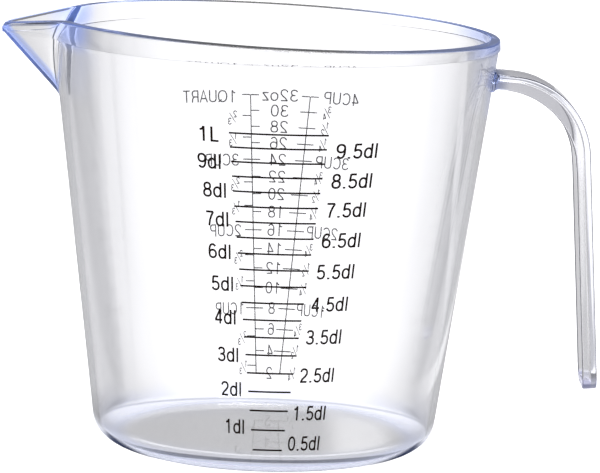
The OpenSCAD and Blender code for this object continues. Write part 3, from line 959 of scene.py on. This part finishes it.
def makeFloor():
    s = studio
    shape = bmesh.new()
    bmesh.ops.create_circle(shape, cap_ends=True, segments=s["floorSides"], radius=s["floorR"])
    mesh = bpy.data.meshes.new("floor")
    shape.to_mesh(mesh)
    shape.free()
    floor = bpy.data.objects.new("floor", mesh)
    bpy.context.scene.collection.objects.link(floor)
    floor.location.z = -s["floorDrop"]
    recipe = Recipe(bpy.data.materials.new("paleTable"))
    place = recipe.place()
    x, y, _ = recipe.split(place)
    tone = lambda name: grey(s[name])
    span = lambda value, name: recipe.fade(value, *s[name])
    within = lambda value, name: (
        recipe.fade(value, *s[name][:2]) * recipe.fade(value, s[name][3], s[name][2]))
    # painted glow on the strip behind the jug, darker towards its sides
    away = recipe.larger(y, 0)
    share = abs(x - s["seenX"] - s["seenTurn"] * away) / (s["seenHalfW"] + s["seenSpread"] * away)
    last = s["stripGlow"][-1][0]
    stops = [(at / last, (glow,) * 3) for at, glow in s["stripGlow"]]
    strip = recipe.node("ValToRGB", {"stops": stops}, {"Fac": share / last})
    strip = recipe.blend(within(x - s["gripSpread"] * away, "gripX"), strip, tone("gripGlow"))
    glow = recipe.blend(span(y, "frontY"), tone("frontGlow"), strip)
    # painted rings of light and shade near the foot
    oval = recipe.length(recipe.node("CombineXYZ", {}, {
        "X": x / s["floorHalf"][0], "Y": (y - s["floorY"]) / s["floorHalf"][1]}))
    front = span(y, "footY")
    heel = recipe.blend(span(y, "heelY"), tone("heelGlow"), tone("heelBack"))
    heel = recipe.blend(front * within(oval, "shineOval"), heel, tone("shineGlow"))
    heel = recipe.blend((1 - front) * within(oval, "backOval"), heel, tone("backGlow"))
    glow = recipe.blend(span(recipe.length(place), "heelR"), heel, glow)
    # painted shadow under the jug's floor, with a painted bright patch in it
    under = recipe.blend(within(x, "brightX"), tone("underShadowGlow"), tone("brightGlow"))
    glow = recipe.blend(span(oval, "floorEdge"), under, glow)
    # painted contact shadow: a dark ring in the glow and in the table's colour
    foot = front * within(oval, "contactShadowOval")
    glow = recipe.blend(foot, glow, grey(0))
    # the camera itself sees a plain white table
    glow = recipe.blend(recipe.node("LightPath", out="Is Camera Ray"), glow, tone("tableWhite"))
    patch = recipe.noise(s["floorPatch"] / mm, 3)
    table = recipe.blend(patch, rgb(s["floorColour"]), rgb(s["floorPale"]))
    surface = recipe.node("BsdfPrincipled", {}, {
        "Base Color": recipe.blend(foot, table, rgb(s["contactShadowColour"])),
        "Roughness": s["floorRoughness"], "Emission Color": glow, "Emission Strength": 1.0,
    })
    recipe.node("OutputMaterial", {}, {"Surface": surface})
    mesh.materials.append(bpy.data.materials["paleTable"])


def makeWorld():
    world = bpy.data.worlds.new("softRoom")
    bpy.context.scene.world = world
    recipe = Recipe(world)
    height = recipe.split(recipe.node("TexCoord", out="Generated"))[2]
    rise = recipe.fade(height, *studio["roomRise"])
    tone = recipe.blend(rise, rgb(studio["roomLow"]), rgb(studio["roomHigh"]))
    light = recipe.node("Background", {}, {"Color": tone, "Strength": 1.0})
    recipe.node("OutputWorld", {}, {"Surface": light})


def makeSoftbox():
    light = bpy.data.lights.new("softbox", "AREA")
    light.size = studio["softboxSize"]
    light.energy = studio["softboxPower"]
    lamp = bpy.data.objects.new("softbox", light)
    bpy.context.scene.collection.objects.link(lamp)
    place = Vector(studio["softboxPlace"])
    lamp.location = place
    lamp.rotation_euler = (Vector(studio["softboxAim"]) - place).to_track_quat("-Z", "Y").to_euler()


camera = dict(
    lens=198.55, sensor=36, near=0.01, far=20,
    place=(-2.497, -991.91, 230.88), yaw=0.0118, pitch=0.168, roll=0.0349,      # turns in radians
)


def makeCamera():
    data = bpy.data.cameras.new("camera")
    data.sensor_width = camera["sensor"]
    data.lens = camera["lens"]
    data.clip_start, data.clip_end = camera["near"], camera["far"]
    holder = bpy.data.objects.new("camera", data)
    bpy.context.scene.collection.objects.link(holder)
    yaw, pitch, roll = camera["yaw"], camera["pitch"], camera["roll"]
    ahead = Vector((math.sin(yaw) * math.cos(pitch), math.cos(yaw) * math.cos(pitch), -math.sin(pitch)))
    level = Vector((math.cos(yaw), -math.sin(yaw), 0))
    upright = level.cross(ahead)
    right = math.cos(roll) * level + math.sin(roll) * upright
    up = -math.sin(roll) * level + math.cos(roll) * upright
    turn = Matrix((right, up, -ahead)).transposed().to_4x4()
    holder.matrix_world = Matrix.Translation(Vector(camera["place"]) * mm) @ turn
    bpy.context.scene.camera = holder


makeFloor()
makeWorld()
makeSoftbox()
makeCamera()
bpy.context.scene.view_settings.view_transform = "Standard"
print("studio made")
